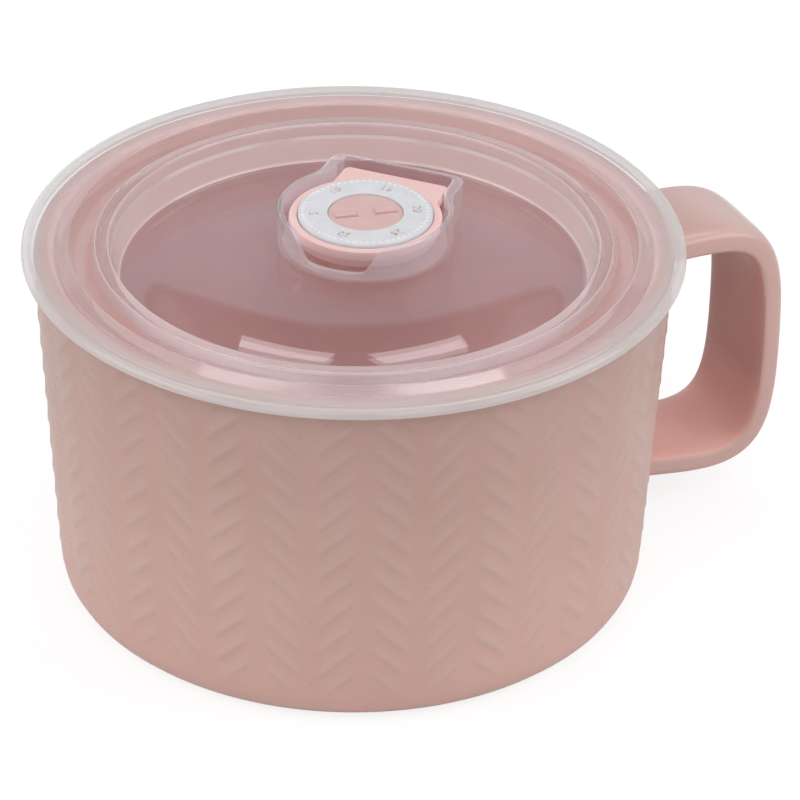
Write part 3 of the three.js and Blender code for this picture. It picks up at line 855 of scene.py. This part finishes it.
def tab_web():
    """The tab's top from the plug to its rear edge, the part of the real tab that bends where the plug
    lifts.
    """
    corner_x, edge_x = TAB_REAR - TAB_CORNER, TAB_REAR - SOFT_EDGE
    stations = [TAB_START + TAB_STATION * k for k in range(TAB_STATIONS)]
    stations += [x for x, _ in reversed(arc(corner_x, 0, TAB_CORNER, 0, 90, steps=8))][1:]
    sections = []
    for x in stations:
        half, top = TAB_HALF, FLANGE_TOP
        if x > corner_x:
            half -= TAB_CORNER - sqrt(max(TAB_CORNER**2 - (x - corner_x) ** 2, 0))
        if x >= edge_x:
            top -= SOFT_EDGE - sqrt(max(SOFT_EDGE**2 - (x - edge_x) ** 2, 0))
        left = [(-half, top - SOFT_EDGE), (SOFT_EDGE_MIDDLE - half, top - SOFT_EDGE_MIDDLE)]
        right = [(-y, z) for y, z in reversed(left)]
        upper = left + straight((SOFT_EDGE - half, top), (half - SOFT_EDGE, top), steps=12) + right
        upper = [(x, y, max(z, TAB_UNDER + TAB_THINNEST)) for y, z in upper]
        sections.append([(x, -half, TAB_UNDER), *upper, (x, half, TAB_UNDER)])
    return new_piece("tab_web", placed(lofted(sections), VENT_PLACE), RUBBER)


def plug():
    """Vent plug: stem, foot, tapered disc, a flange squared off at the hinge, the boss and its two bars."""
    disc = FLANGE_RADIUS - PLUG_DISC_INSET
    core = turned(rounded([
        (0, STEM_TIP, 0), (STEM_TIP_RADIUS, STEM_TIP, 0.5), (STEM_RADIUS, PLUG_BOTTOM, 0.1),
        (PLUG_FOOT_RADIUS, PLUG_BOTTOM, 0.4), (PLUG_FOOT_RADIUS, PLUG_FOOT_TOP, 0.2),
        (PLUG_DISC_RADIUS, PLUG_FOOT_TOP, 1.4), (disc, FLANGE_UNDER, 0.5), (disc, DIAL_SEAT, 0.05),
        (BOSS_RADIUS, DIAL_SEAT, 0.15), (BOSS_RADIUS, BOSS_TOP, 0.25), (0, BOSS_TOP, 0)]), steps=96)
    # The flange's edge follows the hinge line, then the tab's sides, then its own circle
    corner = degrees(atan2(TAB_HALF, TAB_START))
    tab_side = degrees(asin(TAB_HALF / FLANGE_RADIUS))
    low = FLANGE_UNDER - FLANGE_LAP
    sections = []
    for k in range(FLANGE_STEPS):
        angle = -180 + 360 / FLANGE_STEPS * k
        along, across = cos(radians(angle)), sin(radians(angle))
        reach = FLANGE_RADIUS
        if abs(angle) < corner:
            reach = TAB_START / along
        elif abs(angle) < tab_side:
            reach = TAB_HALF / abs(across)
        soft = 0.0 if abs(angle) < corner + 1 else 1.0
        edge, middle = SOFT_EDGE * soft, SOFT_EDGE_MIDDLE * soft
        rim = [(reach, low), (reach, FLANGE_TOP - edge), (reach - middle, FLANGE_TOP - middle),
               (reach - edge - FLANGE_POINT_GAP, FLANGE_TOP), (GROOVE_RADIUS + GROOVE_EDGE, FLANGE_TOP),
               (GROOVE_RADIUS, FLANGE_TOP - GROOVE_EDGE), (GROOVE_RADIUS, low)]
        sections.append([(r * along, r * across, z) for r, z in rim])
    flange = lofted(sections, loop=True)
    bars = []
    plan = [(x * BAR_HALF_WIDTH, y * BAR_HALF_LENGTH) for x, y in OBLONG]
    for side in (-BAR_PLACE, BAR_PLACE):
        bar = [[(x * share, side + y * share, BOSS_TOP + z) for x, y in plan] for share, z in BAR_SIDES]
        bars.append(placed(lofted(bar), Matrix.Rotation(radians(BAR_TURN), 4, "Z")))
    piece = new_piece("vent_plug_body", placed(joined(core, flange, *bars), VENT_PLACE), RUBBER, BOSS_RUBBER)
    # Faces of the boss inside the dial's hole take the darker silicone, as painted shade
    for face in piece.data.polygons:
        spot = face.center / MM
        face.material_index = int((spot - VENT_CENTRE).xy.length < DIAL_HOLE and spot.z > DIAL_BOTTOM)
    return piece


def dial():
    """Date dial: a white ring with softened edges."""
    section = rounded([
        (DIAL_MIDDLE, DIAL_BOTTOM, 0), (DIAL_RADIUS, DIAL_BOTTOM, 0.15), (DIAL_RADIUS, DIAL_TOP, 0.6),
        (DIAL_HOLE, DIAL_TOP, 0.3), (DIAL_HOLE, DIAL_BOTTOM, 0.15), (DIAL_MIDDLE, DIAL_BOTTOM, 0)])[:-1]
    return new_piece("dial_ring", placed(turned(section, steps=128, ring=True), VENT_PLACE), DIAL_WHITE)


def dial_dots():
    """Raised dots round the dial's rim."""
    piece = new_piece("dial_dots", ([], []))
    # The dots take a lighter copy of the dial's white, as painted light
    run_tree(piece, dots_tree(), {
        "Count": DOT_COUNT, "Circle Radius": DOT_CIRCLE * MM, "Dot Radius": DOT_RADIUS * MM,
        "Flatness": DOT_FLATNESS, "Plastic": DOT_WHITE,
        "Centre": (VENT_CENTRE.x * MM, VENT_CENTRE.y * MM, DIAL_TOP * MM)})
    return piece


def dial_numbers():
    """Printed numbers at equal steps, with their feet to the dial's middle."""
    shapes = []
    for k, number in enumerate(NUMBERS):
        curve = bpy.data.curves.new("number", "FONT")
        curve.body = number
        curve.size = NUMBER_SIZE
        curve.extrude = NUMBER_HALF_DEPTH
        curve.align_x = "CENTER"
        curve.align_y = "CENTER"
        curve.resolution_u = 4
        made = new_object("number", curve)
        mesh = plain_mesh(made)
        turn = Matrix.Rotation(radians(NUMBER_FIRST - NUMBER_STEP * k - 90), 4, "Z")
        out = Matrix.Translation((0, DIAL_MIDDLE, DIAL_TOP + NUMBER_LIFT))
        place = Matrix.Translation(VENT_CENTRE) @ turn @ out
        shapes.append(([place @ v.co for v in mesh.vertices], [tuple(p.vertices) for p in mesh.polygons]))
        bpy.data.objects.remove(made)
    return new_piece("dial_numbers", joined(*shapes), INK)


# Glazes: name, two tints, two heights and the strength at each, roughness, index. The strengths are painted
# light and shade
# The cup is painted darker up under the lid and lighter low down
CUP_GLAZE = glaze("stoneware_matt_glaze", "#cfa69c", "#d4ada3", 5, CUP_HEIGHT, 1.14, 0.84, 0.32, 1.46)
# The handle's glossier copy is painted about a tenth lighter throughout
HANDLE_GLAZE = glaze("stoneware_satin_glaze", "#cfa9a1", "#d4b0a8", 5, CUP_HEIGHT, 1.1, 1.08, 0.19, 1.46)
# The finger gap's copy: darker and redder as painted shade, and painted lighter below 15 mm on the lower
# arm's top
HANDLE_INSIDE = glaze("stoneware_glaze_gap_painted_light_and_shade", "#c89b94", "#cda19a", 15, 30, 1.45, 0.98, 0.35, 1.22)
# Lid plastics: two tints, clearness, roughness, coat, the coat's roughness, share of lamp light let through
CLEAR = polypropylene("polished", "#edebf5", "#f2f2f9", 0.98, 0.02, 0.7, 0.005, 0.98)
UNDER = polypropylene("underside", "#f6f3f8", "#f9f7fb", 0.98, 0.02, 0.0, 0.005, 0.98)
CHANNEL = polypropylene("channel", "#f9e8e7", "#faeceb", 0.76, 0.1, 0.8, 0.05, 0.97)
RIM = polypropylene("rim", "#faf1f2", "#fbf4f5", 0.76, 0.1, 0.9, 0.03, 0.8)
RECESS = polypropylene("recess_wall", "#fbe8e6", "#fceceb", 0.4, 0.12, 1.0, 0.08, 0.95)
RING = polypropylene("hazy", "#f4ebeb", "#f7f0f0", 0.82, 0.12, 0.8, 0.08, 0.95)
CORNER = polypropylene("ring_corner", "#e6d4d3", "#ead9d8", 0.4, 0.12, 0.5, 0.08, 0.95)
FROSTED = polypropylene("etched", "#f3ecee", "#f6f0f2", 0.72, 0.45, 0.7, 0.2, 0.95)
# Milky thick edge of the flange, and a painted highlight line on the ring's step
EDGE = polypropylene("thick_edge_and_painted_step_highlight", "#e4dcda", "#e8e0de", 0.48, 0.45, 1.0, 0.12, 0.35)
LIP = polypropylene("over_lip", "#e6d4d1", "#eadad7", 0.55, 0.45, 0.9, 0.12, 0.6)
COLLAR = polypropylene("satin", "#f3eef3", "#f8f4f8", 0.76, 0.15, 1.0, 0.1, 0.96)
# The rear wall's darker tint is a painted dark reflection
REAR = polypropylene("rear_wall_painted_reflection", "#c7a6aa", "#ceaeb2", 0.94, 0.05, 1.0, 0.02, 0.96)
LID_FINISHES = (CLEAR, UNDER, COLLAR, REAR, RECESS, RING, CORNER, FROSTED, CHANNEL, RIM, LIP, EDGE)
RUBBER = silicone_rubber("silicone_soft_matt", "#edc5c2", "#f0cbc8")
# The boss takes a darker copy of the same silicone: painted shade on its open top, which takes more light
# than the tab and the plug's sides
BOSS_RUBBER = silicone_rubber("silicone_boss_painted_shade", "#d7b1ae", "#dbb8b5")
DIAL_WHITE = dial_abs("abs_satin_white", "#dad8dc", "#e1e0e3")
# A lighter copy of the dial's white for the raised dots: painted light against their own shading
DOT_WHITE = dial_abs("abs_white_painted_light", "#eeedf0", "#f3f3f5")
INK = pad_ink("pad_print_ink", "#b58d8a", "#d9d1d2")

cup_piece = cup()
handle_piece = handle()
lid_piece = lid()
anchor_piece = tab_anchor()
web_piece = tab_web()
plug_piece = plug()
dial_piece = dial()
dots_piece = dial_dots()
numbers_piece = dial_numbers()

for piece, body, node, slot in (
    (cup_piece, "mug", "mug_body", "stoneware"),
    (handle_piece, "mug", "handle", "stoneware"),
    (lid_piece, "lid", "lid", "clear_plastic"),
    (anchor_piece, "lid", "plug_tab", "silicone"),
    (plug_piece, "vent_plug", "vent_plug", "silicone"),
    (dial_piece, "date_dial", "date_dial", "dial_plastic"),
):
    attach(piece, body)
    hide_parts(node)
for piece in (dots_piece, numbers_piece):
    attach(piece, "date_dial")
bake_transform(web_piece)

# Floor, just under the foot
FLOOR_HALF = 4000
FLOOR_LEVEL = -0.05
floor_corners = [(x * FLOOR_HALF, y * FLOOR_HALF, FLOOR_LEVEL) for x, y in OBLONG]
white_card = studio_card("white_card", "#f2f2f2", "#f5f5f5")
floor = new_piece("studio_floor", (floor_corners, [(0, 1, 2, 3)]), white_card)

# Camera: how far it is turned, raised and rolled, the place it aims at, its distance, its lens in pixels
VIEW_TURN = radians(26.26)
VIEW_RISE = radians(31.475)
VIEW_ROLL = radians(0.992)
VIEW_AIM_RIGHT = 10.24
VIEW_AIM_UP = 40.68
VIEW_DISTANCE = 1000
PICTURE_PIXELS = 800
LENS_PIXELS = 4654
SENSOR_WIDTH = 36.0
picture_right = Vector((cos(VIEW_TURN), -sin(VIEW_TURN), 0))
picture_away = Vector((sin(VIEW_TURN), cos(VIEW_TURN), 0))
look = picture_away * cos(VIEW_RISE) - Vector((0, 0, sin(VIEW_RISE)))
rise = picture_away * sin(VIEW_RISE) + Vector((0, 0, cos(VIEW_RISE)))
camera_x = picture_right * cos(VIEW_ROLL) + rise * sin(VIEW_ROLL)
camera_y = rise * cos(VIEW_ROLL) - picture_right * sin(VIEW_ROLL)
target = picture_right * VIEW_AIM_RIGHT + Vector((0, 0, VIEW_AIM_UP))
camera = new_object("camera", bpy.data.cameras.new("camera"))
camera.data.sensor_width = SENSOR_WIDTH
camera.data.lens = LENS_PIXELS / PICTURE_PIXELS * SENSOR_WIDTH
camera_turn = Matrix((camera_x, camera_y, -look)).transposed().to_4x4()
camera.matrix_world = Matrix.Translation((target - look * VIEW_DISTANCE) * MM) @ camera_turn
bpy.context.scene.camera = camera
bpy.context.scene.view_settings.view_transform = "Standard"


def studio_world():
    """Soft even light. A straight view sees plain white. Gloss, and light that passes through plastic,
    meets a white sweep behind the mug, lighter to the left and low down, with a bent upper edge; a dark
    ceiling over it, greyer to both sides, lighter far up and far aside; and two tall cards by the camera.
    Places in it are parts of a ray's direction: up, to the picture's right, aside and to the camera."""
    world = bpy.data.worlds.new("studio")
    bpy.context.scene.world = world
    world.use_nodes = True
    sky = world.node_tree
    sky.nodes.clear()
    path = add(sky, "ShaderNodeLightPath").outputs
    way = add(sky, "ShaderNodeTexCoord").outputs["Generated"]
    up = add(sky, "ShaderNodeSeparateXYZ", {0: way}).outputs["Z"]
    right = add(sky, VECTOR, {0: way, 1: picture_right}, "DOT_PRODUCT").outputs["Value"]
    near = add(sky, VECTOR, {0: way, 1: -picture_away}, "DOT_PRODUCT").outputs["Value"]
    from_middle = add(sky, MATH, {0: right, 1: 0.014}, "ADD")
    aside = add(sky, MATH, {0: from_middle}, "ABSOLUTE")
    # The sweep's edge comes down to both sides
    squared = add(sky, MATH, {0: aside, 1: aside}, "MULTIPLY")
    bent = add(sky, MATH, {0: squared, 1: 0.015}, "MINIMUM")
    level = add(sky, MATH, {0: bent, 1: 2.3, 2: up}, "MULTIPLY_ADD")
    under_edge = add(sky, RANGE, {"Value": level, 1: 0.519, 2: 0.5225, 3: 1.0, 4: 0.0}, **SOFT)
    to_left = add(sky, RANGE, {"Value": right, 1: -0.12, 2: -0.19, 3: 0.7, 4: 1.4})
    low_down = add(sky, RANGE, {"Value": up, 1: 0.5, 2: 0.43, 3: 1.0, 4: 1.25})
    sweep_light = add(sky, MATH, {0: to_left, 1: low_down}, "MULTIPLY")
    sweep = add(sky, MATH, {0: under_edge, 1: sweep_light, 2: 0.04}, "MULTIPLY_ADD")
    # The ceiling is dark in a band over the sweep, and lighter from 44 degrees up to 50
    over_band = add(sky, RANGE, {"Value": level, 1: 0.528, 2: 0.534, 3: 0.0, 4: 0.26}, **SOFT)
    sides = add(sky, RANGE, {"Value": aside, 1: 0.062, 2: 0.074}, **SOFT)
    grey = add(sky, MATH, {0: over_band, 1: sides, 2: sweep}, "MULTIPLY_ADD")
    first, last = sin(radians(44)), sin(radians(50))
    far_up = add(sky, RANGE, {"Value": up, 1: first, 2: last, 3: 0.0, 4: 0.5}, **SOFT)
    lighter = add(sky, MATH, {0: grey, 1: far_up}, "ADD")
    far_aside = add(sky, RANGE, {"Value": aside, 1: 0.22, 2: 0.42, 3: 0.0, 4: 0.9}, **SOFT)
    ceiling = add(sky, MATH, {0: lighter, 1: far_aside}, "MAXIMUM")
    # The cards lie between two heights and two places aside
    cards = add(sky, RANGE, {"Value": near, 1: 0.2, 2: 0.3, 3: 0.0, 4: 4.0}, **SOFT)
    for value, first, last in ((up, 0.31, 0.35), (up, 0.51, 0.47), (aside, 0.18, 0.24), (aside, 0.82, 0.76)):
        within = add(sky, RANGE, {"Value": value, 1: first, 2: last}, **SOFT)
        cards = add(sky, MATH, {0: cards, 1: within}, "MULTIPLY")
    studio = add(sky, MATH, {0: ceiling, 1: cards}, "ADD")
    in_gloss = add(sky, MIX, {0: path["Is Glossy Ray"], 2: 1.0, 3: studio})
    # Light that has met a matt surface gets the even light alone
    direct = add(sky, MATH, {0: path["Diffuse Depth"], 1: 0.5}, "LESS_THAN")
    seen = path["Is Camera Ray"]
    for ray in ("Is Glossy Ray", "Is Transmission Ray"):
        seen = add(sky, MATH, {0: seen, 1: path[ray]}, "MAXIMUM")
    shown = add(sky, MATH, {0: seen, 1: direct}, "MULTIPLY")
    strength = add(sky, MIX, {0: shown, 2: 0.24, 3: in_gloss})
    # The sweep is cool and the rest a little less so
    tones = {"Factor": under_edge, 6: linear("#f6fbff"), 7: linear("#d0f2ff")}
    tone = add(sky, MIX, tones, data_type="RGBA").outputs[2]
    tones = {"Factor": path["Is Glossy Ray"], 6: (1, 1, 1, 1), 7: tone}
    colour = add(sky, MIX, tones, data_type="RGBA").outputs[2]
    light = add(sky, "ShaderNodeBackground", {"Color": colour, "Strength": strength})
    add(sky, "ShaderNodeOutputWorld", {"Surface": light})


def softbox(name, right, away, up, width, depth, power, roll):
    """A soft area lamp aimed at the mug, placed in the picture's directions in metres."""
    lamp = bpy.data.lights.new(name, "AREA")
    lamp.shape = "RECTANGLE"
    lamp.size = width
    lamp.size_y = depth
    lamp.energy = power
    made = new_object(name, lamp)
    made.location = picture_right * right + picture_away * away + Vector((0, 0, up))
    aim = Vector((0, 0, LAMP_AIM)) - made.location
    turn = aim.to_track_quat("-Z", "Y") @ Quaternion((0, 0, 1), radians(roll))
    made.rotation_euler = turn.to_euler()


studio_world()
# Lamps: right, away, up, width, depth, power, roll. The panel and the rim mirror the last two near their
# front edges
LAMP_AIM = 0.05
for lamp in (
    ("left_softbox", -1.1, -0.25, 0.85, 0.9, 0.9, 6.2, 0),
    ("right_softbox", 1.1, -0.15, 0.85, 0.9, 0.9, 6.2, 0),
    ("front_softbox", 0.0, -0.95, 1.2, 1.2, 0.6, 5.5, 0),
    ("back_softbox", 0.1, 0.6, 1.4, 1.2, 0.6, 5.5, 0),
    ("rear_left_lamp", -0.13, 2.5, 1.784, 0.14, 0.066, 0.1, -19),
    ("rear_right_lamp", 0.068, 2.5, 1.775, 0.14, 0.074, 0.11, 26),
):
    softbox(*lamp)
